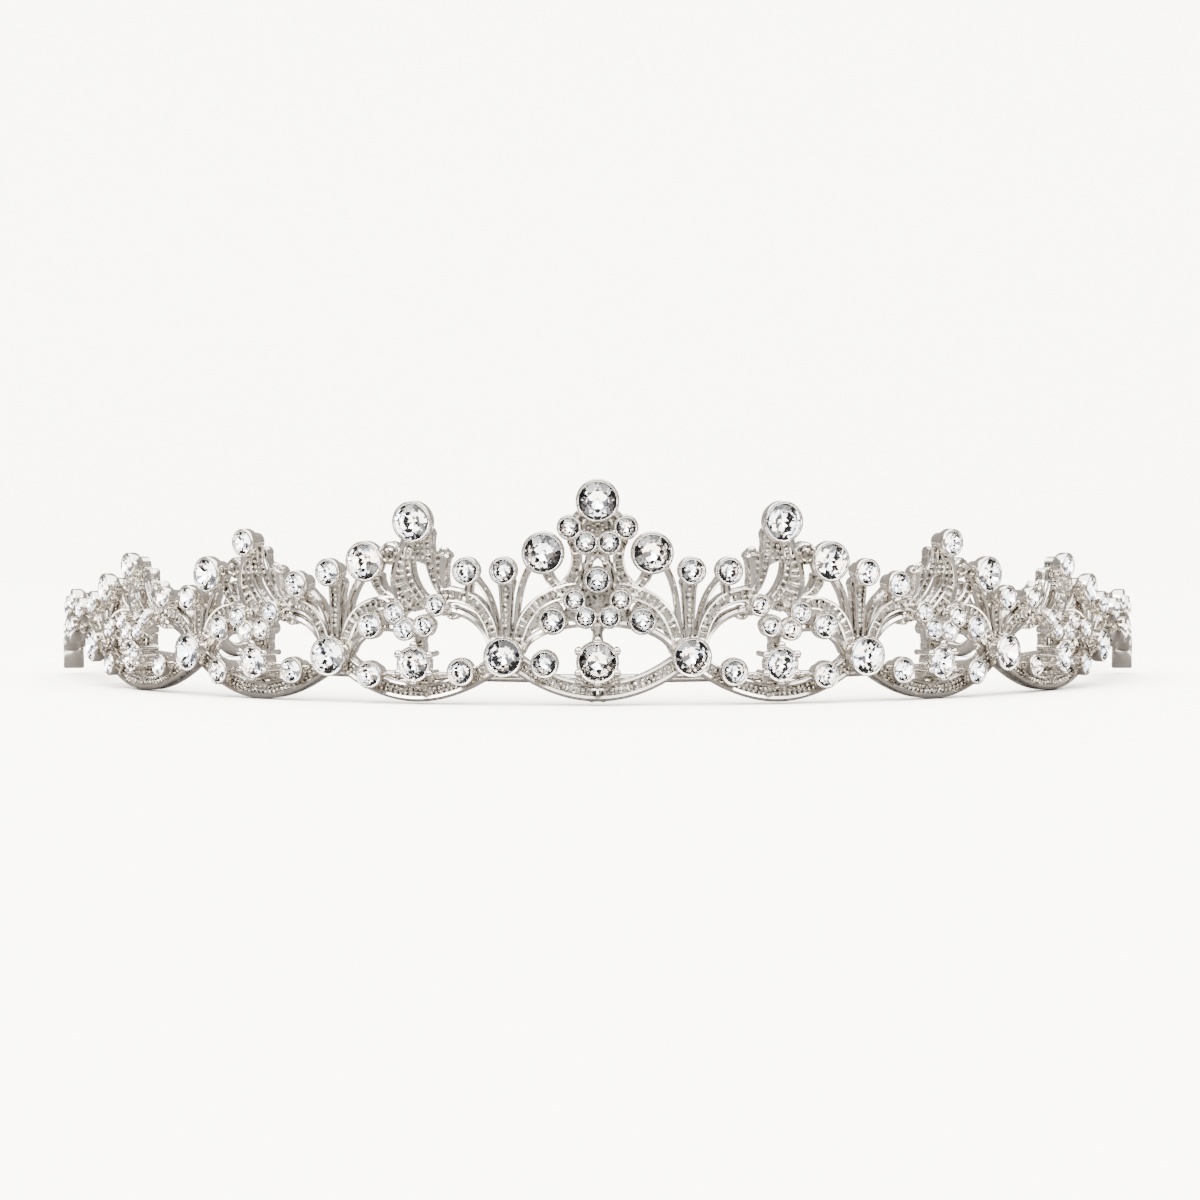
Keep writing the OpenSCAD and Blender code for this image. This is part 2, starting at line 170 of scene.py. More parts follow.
# %% [markdown]
# Operators act on whatever is selected, so a lesson file needs a few habits. First everything is
# deselected, then only the piece at hand is selected. A finished piece keeps its object at the
# origin and its place in its mesh.

# %% Habits for working with operators
def alone(*pieces):
    """Selects these pieces and nothing else. The last one becomes active."""
    bpy.ops.object.select_all(action="DESELECT")
    for piece in pieces:
        piece.select_set(True)
    bpy.context.view_layer.objects.active = pieces[-1]


def settle(piece):
    """Moves a piece's place, turn and size into its mesh."""
    alone(piece)
    bpy.ops.object.transform_apply(location=True, rotation=True, scale=True)
    return piece


def copy_to(piece, matrix):
    """Copies a piece, mesh and all, to this place."""
    alone(piece)
    bpy.ops.object.duplicate()
    twin = bpy.context.object
    twin.matrix_world = matrix
    return settle(twin)


def joined(name, pieces):
    """Joins pieces into one with this name."""
    alone(*pieces)
    if len(pieces) > 1:
        bpy.ops.object.join()
    piece = bpy.context.object
    piece.name = piece.data.name = name
    return piece


def drop(piece):
    """Deletes a piece that has served its turn."""
    alone(piece)
    bpy.ops.object.delete()


bpy.ops.object.select_all(action="DESELECT")
print("selected now:", len(bpy.context.selected_objects))


# %% [markdown]
# One small function adds a shader node with its settings and links. Colours are written as the
# sRGB hex values a painter would pick, and are turned to linear light by one other function.

# %% Helpers for materials
def linear(hex_code):
    """A linear colour from an sRGB hex value."""
    channels = [int(hex_code[k:k + 2], 16) / 255 for k in (1, 3, 5)]
    return [c / 12.92 if c <= 0.04045 else ((c + 0.055) / 1.055) ** 2.4 for c in channels] + [1]


def node(material, kind, links=(), **settings):
    """Adds a shader node. Each link is a source node, its output and the new node's input."""
    new = material.node_tree.nodes.new(kind)
    for key, value in settings.items():
        if key in new.inputs:
            new.inputs[key].default_value = value
        else:
            setattr(new, key, value)
    for source, out, socket in links:
        material.node_tree.links.new(source.outputs[out], new.inputs[socket])
    return new


def material_of(name):
    """A new material and its Principled shader."""
    material = bpy.data.materials.new(name)
    material.use_nodes = True
    shader = material.node_tree.nodes["Principled BSDF"]
    return material, shader


def dress(piece, *materials):
    """Gives a piece these materials in place of any it had."""
    piece.data.materials.clear()
    for material in materials:
        piece.data.materials.append(material)


print("linear value of a mid grey:", round(linear("#808080")[0], 3))

# %% [markdown]
# Rhodium plate is a hard, white, slightly grey metal. Polished by tumbling it mirrors the room,
# with only a fine haze. The polished rims, the strip and the rings have it.

# %% Polished rhodium plate
polished_rhodium, shader = material_of("polished_rhodium_plate")
shader.inputs["Metallic"].default_value = 1
# A faint cloudiness, 3 mm across, breaks up the mirror where polishing was uneven
place = node(polished_rhodium, "ShaderNodeTexCoord")
cloud = node(polished_rhodium, "ShaderNodeTexNoise", [(place, "Object", "Vector")],
             Scale=1 / (3 * MM), Detail=3)
haze = node(polished_rhodium, "ShaderNodeMapRange", [(cloud, "Fac", "Value")])
haze.inputs["To Min"].default_value = 0.07
haze.inputs["To Max"].default_value = 0.17
tone = node(polished_rhodium, "ShaderNodeMix", [(cloud, "Fac", "Factor")], data_type="RGBA")
tone.inputs["A"].default_value = linear("#E2DCD4")
tone.inputs["B"].default_value = linear("#D1CBC3")
polished_rhodium.node_tree.links.new(haze.outputs["Result"], shader.inputs["Roughness"])
polished_rhodium.node_tree.links.new(tone.outputs["Result"], shader.inputs["Base Color"])
print("made", polished_rhodium.name)

# %% [markdown]
# The sunk grounds of the casting never meet the polishing wheel. They keep the skin of the
# mould under the plate: it is stippled with pits about 0.6 mm apart. The grounds are painted a
# darker grey than the walls, and the pits near black: this is painted shade in the recesses
# between the rims. The distance from the band's axis tells the ground, and all that stands as high,
# from the walls below it, so it drives both the colour and the roughness.

# %% Rhodium plate over a cast skin, with painted shade on its grounds
cast_rhodium, shader = material_of("rhodium_plate_on_cast_zinc_painted_ground_shade")
shader.inputs["Metallic"].default_value = 1
place = node(cast_rhodium, "ShaderNodeTexCoord")
upright = node(cast_rhodium, "ShaderNodeMapping", [(place, "Object", "Vector")], vector_type="TEXTURE")
upright.inputs["Location"].default_value = SEAT.to_translation()
upright.inputs["Rotation"].default_value = SEAT.to_euler()
across = node(cast_rhodium, "ShaderNodeVectorMath", [(upright, "Vector", 0)], operation="MULTIPLY")
across.inputs[1].default_value = (1, 1, 0)
radius = node(cast_rhodium, "ShaderNodeVectorMath", [(across, "Vector", 0)], operation="LENGTH")
# This mask is 1 on the ground and all that stands higher, 0 on the walls: it places the painted shade
level = node(cast_rhodium, "ShaderNodeMapRange", [(radius, "Value", "Value")])
level.inputs["From Min"].default_value = (FACE_R - 0.16) * MM
level.inputs["From Max"].default_value = (FACE_R - 0.08) * MM
grain = node(cast_rhodium, "ShaderNodeTexNoise", [(place, "Object", "Vector")],
             Scale=1 / (0.9 * MM), Detail=4)
pits = node(cast_rhodium, "ShaderNodeTexVoronoi", [(place, "Object", "Vector")], Scale=1 / (0.62 * MM))
skin = node(cast_rhodium, "ShaderNodeMix", [(grain, "Fac", "Factor")], data_type="RGBA")
skin.inputs["A"].default_value = linear("#C6C0B8")
skin.inputs["B"].default_value = linear("#E2DCD4")
# Painted shade: the pits near black, the ground between them mid grey
depth = node(cast_rhodium, "ShaderNodeValToRGB", [(pits, "Distance", "Fac")])
depth.color_ramp.elements[0].position = 0.2
depth.color_ramp.elements[0].color = linear("#3A3733")
depth.color_ramp.elements[1].position = 0.5
depth.color_ramp.elements[1].color = linear("#B5B1AA")
layers = [(level, "Result", "Factor"), (skin, "Result", "A"), (depth, "Color", "B")]
tone = node(cast_rhodium, "ShaderNodeMix", layers, data_type="RGBA")
haze = node(cast_rhodium, "ShaderNodeMapRange", [(level, "Result", "Value")])
haze.inputs["To Min"].default_value = 0.14
haze.inputs["To Max"].default_value = 0.38
bump = node(cast_rhodium, "ShaderNodeBump", [(pits, "Distance", "Height")], Strength=0.6, Distance=0.12 * MM)
cast_rhodium.node_tree.links.new(tone.outputs["Result"], shader.inputs["Base Color"])
cast_rhodium.node_tree.links.new(haze.outputs["Result"], shader.inputs["Roughness"])
cast_rhodium.node_tree.links.new(bump.outputs["Normal"], shader.inputs["Normal"])
print("made", cast_rhodium.name)

# %% [markdown]
# The faces inside each cup's lip and round its seat are painted near black. It shows as a thin
# dark line round each stone: painted shade in the gap between the stone and its lip.

# %% Painted shade inside the cups
painted_cup_shade, shader = material_of("painted_shade_inside_cups")
place = node(painted_cup_shade, "ShaderNodeTexCoord")
shade_mottle = node(painted_cup_shade, "ShaderNodeTexNoise", [(place, "Object", "Vector")],
            Scale=1 / (0.5 * MM), Detail=2)
# Painted shade: a mottled near black
tone = node(painted_cup_shade, "ShaderNodeMix", [(shade_mottle, "Fac", "Factor")], data_type="RGBA")
tone.inputs["A"].default_value = linear("#1F1D1B")
tone.inputs["B"].default_value = linear("#4A4642")
painted_cup_shade.node_tree.links.new(tone.outputs["Result"], shader.inputs["Base Color"])
shader.inputs["Roughness"].default_value = 0.55
print("made", painted_cup_shade.name)

# %% [markdown]
# A rhinestone is a cone of clear lead-free crystal glass whose back is silvered. The glass bends
# the light, the silver throws it back, and the facets break it into light and dark wedges. So a
# stone gets two materials: glass on its front facets, and silver foil on its back ones.

# %% Crystal glass and its silver foil
crystal_glass, shader = material_of("clear_crystal_glass")
shader.inputs["Base Color"].default_value = linear("#FCFCFF")
shader.inputs["Roughness"].default_value = 0.0
shader.inputs["IOR"].default_value = 1.56
shader.inputs["Transmission Weight"].default_value = 1
silver_foil, shader = material_of("silver_foil_behind_glass")
shader.inputs["Metallic"].default_value = 1
shader.inputs["Roughness"].default_value = 0.03
place = node(silver_foil, "ShaderNodeTexCoord")
tint = node(silver_foil, "ShaderNodeTexNoise", [(place, "Object", "Vector")], Scale=1 / (1.6 * MM), Detail=1)
colours = node(silver_foil, "ShaderNodeValToRGB", [(tint, "Fac", "Fac")])
colours.color_ramp.elements[0].position = 0.38
colours.color_ramp.elements[0].color = linear("#D6DAE2")
colours.color_ramp.elements[1].position = 0.62
colours.color_ramp.elements[1].color = linear("#FFF3E8")
middle = colours.color_ramp.elements.new(0.5)
middle.color = linear("#F4F5F8")
silver_foil.node_tree.links.new(colours.outputs["Color"], shader.inputs["Base Color"])
print("made", crystal_glass.name, "and", silver_foil.name)


# %% [markdown]
# A stone is cut plane by plane, as a lapidary grinds it. It starts as a short rod of glass with a
# radius of one. Each facet is one bisect that throws away what lies outside it and fills the cut.
# Slopes are close to a real brilliant cut, with a shallower back because the cups are shallow.

# %% Cut one stone
def cut(azimuth, slope, reach, height):
    """Grinds one facet. It passes at distance reach from the axis at this height."""
    a, t = math.radians(azimuth), math.radians(slope)
    outward = Vector((math.cos(a) * math.sin(t), math.sin(a) * math.sin(t), math.cos(t)))
    bpy.ops.mesh.select_all(action="SELECT")
    bpy.ops.mesh.bisect(plane_co=(reach * math.cos(a), reach * math.sin(a), height), plane_no=outward,
                        use_fill=True, clear_outer=True)


TABLE_H = 0.29
CULET_H = -0.57
# Rounds of eight facets, two in front and two behind: first azimuth, slope, reach and height
ROUNDS = [(0, 35, 0.975, 0.02), (22.5, 38, 0.985, 0.02), (22.5, 150, 0.985, -0.04), (0, 149, 0.985, -0.04)]
bpy.ops.mesh.primitive_cylinder_add(vertices=32, radius=1, depth=1.4, location=(0, 0, 0))
brilliant = bpy.context.object
bpy.ops.object.mode_set(mode="EDIT")
cut(0, 0, 0, TABLE_H)
for first, slope, reach, height in ROUNDS:
    for k in range(8):
        cut(45 * k + first, slope, reach, height)
cut(0, 180, 0, CULET_H)
bpy.ops.mesh.select_all(action="SELECT")
bpy.ops.mesh.remove_doubles(threshold=0.0005)
bpy.ops.mesh.normals_make_consistent(inside=False)
bpy.ops.object.mode_set(mode="OBJECT")
dress(brilliant, crystal_glass, silver_foil)
for face in brilliant.data.polygons:
    face.material_index = 1 if face.normal.z < -0.2 else 0
print("facets of a stone:", len(brilliant.data.polygons))


# %% [markdown]
# Each stone is a copy of that one, made to its size, turned a little differently from its
# neighbours so that they don't all flash together, and pressed into its cup. It stands for the
# plain solid of the same name.

# %% Set the stones
def outward(s, h, r):
    """Where a cup stands: its own z axis points away from the band's axis."""
    return (SEAT @ Matrix.Rotation(s / RIM_R, 4, "Z") @ Matrix.Translation(Vector((0, -r, h)) * MM)
            @ Matrix.Rotation(math.radians(90), 4, "X"))


def set_stone(s, h, rad, turn):
    """Copies the cut stone into the cup at this place. It is a little smaller than its cup."""
    size = (rad - 0.07) * MM
    return copy_to(brilliant, outward(s, h, CUP_R - 0.04 * rad) @ Matrix.Rotation(turn, 4, "Z")
                   @ Matrix.Scale(size, 4))


for k, (name, (s, h, rad)) in enumerate(stones.items()):
    stone = joined(name + "_cut", [set_stone(s, h, rad, 0.39 + 2.4 * k)])
    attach(stone, "root")
    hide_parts(name)
for word in ("left", "right"):
    field = joined(f"small_stones_{word}_cut",
                   [set_stone(s, h, rad, 1.1 + 1.7 * k) for k, (s, h, rad) in enumerate(small[word])])
    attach(field, "root")
    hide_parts(f"small_stones_{word}")
drop(brilliant)
print("stones set:", len(stones) + len(small["left"]) + len(small["right"]))


# %% [markdown]
# The relief of the casting is modelled lying flat: x is arc length, y is height, z is how far it
# stands out from the casting's face. A Simple Deform modifier in its bend mode then rolls it
# round the band. Its angle is the piece's length divided by the radius, so that lengths along
# the rim stay true.

# %% Bend a flat piece round the band
def bent(piece):
    """Stands a flat piece up, rolls it round the band and seats it."""
    alone(piece)
    piece.rotation_euler.x = math.radians(90)
    bpy.ops.object.transform_apply(location=True, rotation=True, scale=True)
    xs = [v.co.x for v in piece.data.vertices]
    bend = piece.modifiers.new("bend", "SIMPLE_DEFORM")
    bend.deform_method = "BEND"
    bend.deform_axis = "Z"
    bend.angle = (max(xs) - min(xs)) / (RIM_R * MM)
    bpy.ops.object.modifier_apply(modifier="bend")
    piece.matrix_world = SEAT @ Matrix.Translation((0, -RIM_R * MM, 0))
    settle(piece)
    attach(piece, "root")
    return piece


def at(s, h, out=0):
    """A place on the flat casting, in metres. Out is measured from the rims' radius."""
    return Vector((s, h, out)) * MM


FACE = FACE_R - RIM_R
print("the face lies", round(-FACE, 2), "mm behind the rims")


# %% [markdown]
# A polished rim or rib is a round bead of metal that runs along a strand. A Bezier curve with a
# bevel depth draws it: the points lie on its path, and each has its own radius. It is then
# converted to a mesh, because a curve can't be joined with the rest or bent.

# %% Draw a rim along a path
def rim(path, r0, r1=None, out=0.0, steps=3):
    """A round rim through flat places (s, h), its radius running from r0 to r1, in mm."""
    r1 = r0 if r1 is None else r1
    bpy.ops.curve.primitive_bezier_curve_add(location=(0, 0, 0))
    wire = bpy.context.object
    wire.data.bevel_depth = MM
    wire.data.bevel_resolution = 2
    wire.data.resolution_u = steps
    wire.data.use_fill_caps = True
    spline = wire.data.splines[0]
    spline.bezier_points.add(len(path) - 2)
    for k, (point, (s, h)) in enumerate(zip(spline.bezier_points, path)):
        point.co = at(s, h, out)
        point.handle_left_type = point.handle_right_type = "AUTO"
        point.radius = r0 + (r1 - r0) * k / (len(path) - 1)
    alone(wire)
    bpy.ops.object.convert(target="MESH")
    return wire


def along(i, row):
    """Seven flat places along a strand's row, through its bend, in motif i."""
    places = []
    for k in range(7):
        t = k / 6
        u, v = [(1 - t) ** 2 * row[c] + 2 * t * (1 - t) * row[2 + c] + t * t * row[4 + c] for c in (0, 1)]
        places.append(spot(i, u, v))
    return places


def beside(path, off0, off1=None):
    """The same path moved sideways, to its left where the distance is positive."""
    off1 = off0 if off1 is None else off1
    moved = []
    for k, p in enumerate(path):
        a, b = path[max(k - 1, 0)], path[min(k + 1, len(path) - 1)]
        length = math.hypot(b[0] - a[0], b[1] - a[1])
        off = off0 + (off1 - off0) * k / (len(path) - 1)
        moved.append((p[0] - off * (b[1] - a[1]) / length, p[1] + off * (b[0] - a[0]) / length))
    return moved


def swag(i, n=13):
    """The hanging swag of motif i, from junction to junction."""
    sc = 0 if i < 0 else motif_s(i)
    k = 1 if i < 0 else motif_k(i)
    places = []
    for j in range(n):
        u = HALF_W * (2 * j / (n - 1) - 1)
        s = sc + k * u
        places.append((s, base_h(s) - hang(sc) * (1 - (u / HALF_W) ** 2)))
    return places


print("a swag's lowest place:", [round(c, 2) for c in swag(0)[6]])

# %% [markdown]
# Grains and bars stand in rows along the strands. One is modelled, an Array modifier fills the
# path's length with copies of it, and a Curve modifier lays them along the path. Both are
# applied, and a little randomness makes the row look cast by hand instead of printed.

# %% Repeat a small shape along a path
def repeated(source, path, step, wobble, seed):
    """Lays copies of source, step mm apart, along flat places, and takes the source away."""
    bpy.ops.curve.primitive_bezier_curve_add(location=(0, 0, 0))
    track = bpy.context.object
    track.data.resolution_u = 4
    spline = track.data.splines[0]
    spline.bezier_points.add(len(path) - 2)
    for point, (s, h) in zip(spline.bezier_points, path):
        point.co = at(s, h)
        point.handle_left_type = point.handle_right_type = "AUTO"
    alone(source)
    array = source.modifiers.new("array", "ARRAY")
    array.fit_type = "FIT_CURVE"
    array.curve = track
    array.use_relative_offset = False
    array.use_constant_offset = True
    array.constant_offset_displace = (step * MM, 0, 0)
    follow = source.modifiers.new("follow", "CURVE")
    follow.object = track
    bpy.ops.object.modifier_apply(modifier="array")
    bpy.ops.object.modifier_apply(modifier="follow")
    bpy.ops.object.mode_set(mode="EDIT")
    bpy.ops.mesh.select_all(action="SELECT")
    bpy.ops.transform.vertex_random(offset=wobble * MM, seed=seed)
    bpy.ops.object.mode_set(mode="OBJECT")
    drop(track)
    alone(source)
    return source


def grain_of(length, width, rise, out):
    """A cast grain: a ball squashed to length, width and rise in mm, whose middle lies at out."""
    bpy.ops.mesh.primitive_uv_sphere_add(segments=8, ring_count=6, radius=0.5)
    bpy.context.object.scale = Vector((length, width, rise)) * MM
    bpy.context.object.location = (0, 0, out * MM)
    return settle(bpy.context.object)


def bar_of(length, width, rise, out):
    """A cast bar: a block with its edges softened, of the same measures."""
    bpy.ops.mesh.primitive_cube_add(size=1)
    bar = bpy.context.object
    bar.scale = Vector((length, width, rise)) * MM
    bar.location = (0, 0, out * MM)
    settle(bar)
    bpy.ops.object.mode_set(mode="EDIT")
    bpy.ops.mesh.select_all(action="SELECT")
    bpy.ops.mesh.bevel(offset=0.3 * min(length, width, rise) * MM, segments=1, affect="EDGES")
    bpy.ops.object.mode_set(mode="OBJECT")
    return bar


def both_sides(piece):
    """Adds the left half of a piece that was modelled on the right."""
    alone(piece)
    mirror = piece.modifiers.new("mirror", "MIRROR")
    mirror.use_mirror_merge = False
    bpy.ops.object.modifier_apply(modifier="mirror")
    return piece


print("faces of one grain:", 8 * 6)

# %% [markdown]
# The body of the casting is plate: each strand is an outline with some depth. A closed Bezier
# curve draws the outline, extrude gives it its depth and the curve's own bevel softens its
# edges, as tumbling does. The casting is one solid on the real crown, so the plates overlap
# freely and are joined into one piece that stands for the nine packed castings.

# %% Cut a shape out of plate
BACK = BACK_R - RIM_R
EDGE = 0.12


def plate(outline, face=FACE, smooth=True):
    """A plate with this closed outline of flat places, from the back up to face."""
    bpy.ops.curve.primitive_bezier_curve_add(location=(0, 0, (face + BACK) / 2 * MM))
    shape = bpy.context.object
    shape.data.dimensions = "2D"
    shape.data.fill_mode = "BOTH"
    shape.data.extrude = ((face - BACK) / 2 - EDGE) * MM
    shape.data.bevel_depth = EDGE * MM
    shape.data.bevel_resolution = 1
    shape.data.offset = -EDGE * MM
    shape.data.resolution_u = 3 if smooth else 1
    spline = shape.data.splines[0]
    spline.bezier_points.add(len(outline) - 2)
    spline.use_cyclic_u = True
    for point, (s, h) in zip(spline.bezier_points, outline):
        point.co = at(s, h)
        point.handle_left_type = point.handle_right_type = "AUTO" if smooth else "VECTOR"
    alone(shape)
    bpy.ops.object.convert(target="MESH")
    return settle(shape)


def band(path, w0, w1=None, face=FACE):
    """The plate of a strand: its path, made w0 wide at its start and w1 at its end."""
    w1 = w0 if w1 is None else w1
    return plate(beside(path, w0 / 2, w1 / 2) + beside(path, -w0 / 2, -w1 / 2)[::-1], face)


print("plates run from", round(BACK, 2), "to", round(FACE, 2), "mm")

# %% [markdown]
# The swag is the hanging band at the foot of every motif. A thin rim runs along its top, a
# thicker one along its bottom, and between them two rows of cast grains, like milgrain, catch
# the light. The middle swag has bars in its middle instead. Only the right half of the crown is
# modelled, so the middle swag runs from just past the mirror line to its junction.

# %% The swags
plates, rims, grains = [], [], []
for i in (-1, 0, 1, 2):
    path = swag(i, 21)[9:] if i < 0 else swag(i)
    plates.append(band(path, SWAG_W))
    rims.append(rim(beside(path, -0.74), 0.41, out=-0.14))
    rims.append(rim(beside(path, 0.92), 0.21, out=-0.06))
    if i < 0:
        bar = bar_of(0.6, 0.95, 0.6, FACE + 0.06)
        grains.append(repeated(bar, beside(path[1:7], 0.14), 0.96, 0.05, seed=2))
        path = path[6:]
    for row, off in enumerate((0.42, -0.14)):
        grain = grain_of(0.56, 0.52, 0.66, FACE + 0.1)
        grains.append(repeated(grain, beside(path, off), 0.64 + 0.05 * row, 0.05, seed=3 * i + row + 5))
print("swags:", len(plates), "plates for one half")

# %% [markdown]
# Arches, strands and scrolls are the pierced part of the casting. Wide ones are channels: two
# polished rims with cast bars across the sunk ground between them, like the rungs of a ladder.
# Narrow ones are one round polished crest. A row holds u and v of the start, the bend and the
# end, then the width at both ends. The rows are the same as in the part's source.

# %% The strands of each motif
ARCHES = [(-10.2, 1.2, -9.2, 8.2, -3.2, 7.6, 1.5, 1.9), (10.2, 1.2, 9.2, 7.2, 3.0, 6.6, 1.5, 1.9),
          (-10.0, 0.4, -8.2, 6.0, -2.9, 5.7, 1.0, 1.1), (10.0, 0.2, 7.2, 4.8, 1.2, 3.0, 1.0, 1.1)]
CENTRE_ARCHES = [(10.2, 1.2, 9.4, 7.6, 2.6, 8.2, 1.5, 2.0), (10.0, 0.2, 8.0, 4.2, -0.6, 4.1, 1.0, 1.1)]
SIDE_STRANDS = [(-10.4, 1.8, -10.2, 7.6, -7.2, 9.8, 0.7, 0.8), (-6.4, 6.8, -6.6, 8.4, -6.8, 9.4, 1.3, 0.9),
                (10.4, 1.8, 10.2, 8.0, 7.4, 10.4, 0.7, 0.9), (-4.2, 6.8, -1.2, 10.0, -1.3, 15.9, 1.3, 1.2),
                (-1.8, 6.0, 3.4, 10.6, -0.1, 15.9, 1.2, 1.2), (1.6, 5.6, 5.2, 9.2, 1.0, 15.7, 1.3, 1.0),
                (2.4, 6.8, 5.4, 7.4, 5.8, 10.2, 1.2, 1.5), (-3.4, 8.6, -3.2, 12.4, -3.9, 12.9, 1.0, 1.5)]
CENTRE_STRANDS = [(10.4, 1.8, 10.4, 10.0, 7.6, 12.2, 0.7, 0.9), (5.0, 7.8, 1.4, 10.6, 3.3, 14.8, 1.7, 1.2),
                  (4.9, 8.4, 6.4, 9.6, 6.6, 11.8, 1.2, 1.4), (1.8, 8.8, 1.0, 11.0, 0.8, 14.2, 0.9, 1.3),
                  (3.4, 15.6, 1.6, 17.6, 0.9, 18.4, 1.2, 1.4)]
END_STRANDS = [(-11.2, 0.6, -8.6, 5.6, -2.4, 5.2, 1.4, 1.5), (-10.9, -0.2, -5.6, 3.4, 0, 2.0, 0.8, 0.9),
               (-2.6, 5.0, 3.6, 6.2, 7.2, 0.8, 1.4, 1.2), (0.6, 1.8, 4.0, 2.6, 8.6, 0.2, 1.0, 1.2)]


def rims_along(path, w0, w1, thick=0.2):
    """Two polished rims at the edges of a strand."""
    o0, o1 = w0 / 2 - thick + 0.02, w1 / 2 - thick + 0.02
    return [rim(beside(path, side * o0, side * o1), thick, out=-0.09) for side in (1, -1)]


count = 0
for i in (-1, 0, 1, 2, 3):
    rows = {-1: CENTRE_ARCHES + CENTRE_STRANDS, 3: END_STRANDS}.get(i, ARCHES + SIDE_STRANDS)
    for k, row in enumerate(rows):
        path, w0, w1 = along(i, row), row[6], row[7]
        count += 1
        plates.append(band(path, w0, w1, FACE - 0.03 * (k % 3)))
        if min(w0, w1) >= 1.15:
            rims += rims_along(path, w0, w1)
            bar = bar_of(0.44, (w0 + w1) / 2 - 0.5, 0.5, FACE + 0.04)
            grains.append(repeated(bar, path, 0.84, 0.03, seed=count))
        else:
            rims.append(rim(path, w0 / 2 - 0.04, w1 / 2 - 0.04, out=FACE - 0.02))
print("strands for one half:", count)

# %% [markdown]
# A stem rises from every junction to a small stone. It opens like a V: two thin rims with a row
# of grains in the dark channel between them.

# %% The stems
for i, (rad, rise, top_rad) in enumerate(JUNCTIONS):
    s, h = JOINTS[i] * ARC, base_h(JOINTS[i] * ARC)
    foot, head = h + rad * 0.8, h + rise - top_rad * 0.7
    path = [(s, foot + (head - foot) * k / 4) for k in range(5)]
    plates.append(band(path, 1.0, 2.0))
    rims += rims_along(path, 1.0, 2.0, thick=0.19)
    grains.append(repeated(grain_of(0.5, 0.56, 0.5, FACE + 0.08), path[1:], 0.66, 0.04, seed=i + 1))
print("stems:", 2 * len(JUNCTIONS))

# %% [markdown]
# The prong stones stand on a foot that rises from the swag, and hang from a lug above them. The
# foot is a trapezoid of plate with bars across it.

# %% Feet and lugs of the prong stones
for i in (-1, 0, 1, 2):
    if i < 0:
        s, h, rad = stones["prong_stone_centre"]
        low = (0, base_h(0) - hang(0) + 0.4)
        path = [(0, low[1]), (0, (low[1] + h - 0.5 * rad) / 2), (0, h - 0.5 * rad)]
        high = (0, base_h(0) + 4.4)
    else:
        s, h, rad = stones[f"prong_stone_right_{i + 1}"]
        low = swag(i)[6]
        path = [low, ((low[0] + s) / 2, (low[1] + h - 0.5 * rad) / 2), (s, h - 0.5 * rad)]
        high = spot(i, -0.2, 3.0)
    plates.append(band(path, 4.2, 2.6))
    grains.append(repeated(bar_of(0.45, 2.6, 0.4, FACE + 0.05), path, 0.7, 0.05, seed=i + 31))
    lug = [(s, h + 0.7 * rad), ((s + high[0]) / 2, (h + 0.7 * rad + high[1]) / 2), high]
    plates.append(band(lug, 1.2, 1.3))
    rims += rims_along(lug, 1.2, 1.3, thick=0.16)
prong_names = [name for name in stones if name.startswith("prong_stone")]
print("feet:", len(prong_names))

# %% [markdown]
# Between the strands of the side motifs the casting is filled with ground: shells with bars, a
# field of grains under the peak stone, a hook and three little scrolls. Their plates are a little
# lower than the strands, so the strands still stand out from them.

# %% Scrolls
def scroll(i, u, v, r0, r1, start, turns, thick=0.2):
    """A rim that curls from radius r0 to r1 round a place of motif i, with a ball at its end."""
    n = int(8 * abs(turns)) + 2
    centre = spot(i, u, v)
    places = []
    for k in range(n):
        a = math.radians(start) + 2 * math.pi * turns * k / (n - 1)
        r = r0 + (r1 - r0) * k / (n - 1)
        places.append((centre[0] + r * math.cos(a), centre[1] + r * math.sin(a)))
    bpy.ops.mesh.primitive_uv_sphere_add(segments=12, ring_count=8, radius=1.7 * thick * MM)
    ball = bpy.context.object
    ball.location = at(*places[-1], out=-0.05)
    return [settle(ball), rim(places, thick, out=-0.08, steps=2)]


def disc(i, u, v, r, face):
    """A round plate at a place of motif i."""
    centre = spot(i, u, v)
    return plate([(centre[0] + r * math.cos(k * math.pi / 4), centre[1] + r * math.sin(k * math.pi / 4))
                  for k in range(8)], face)


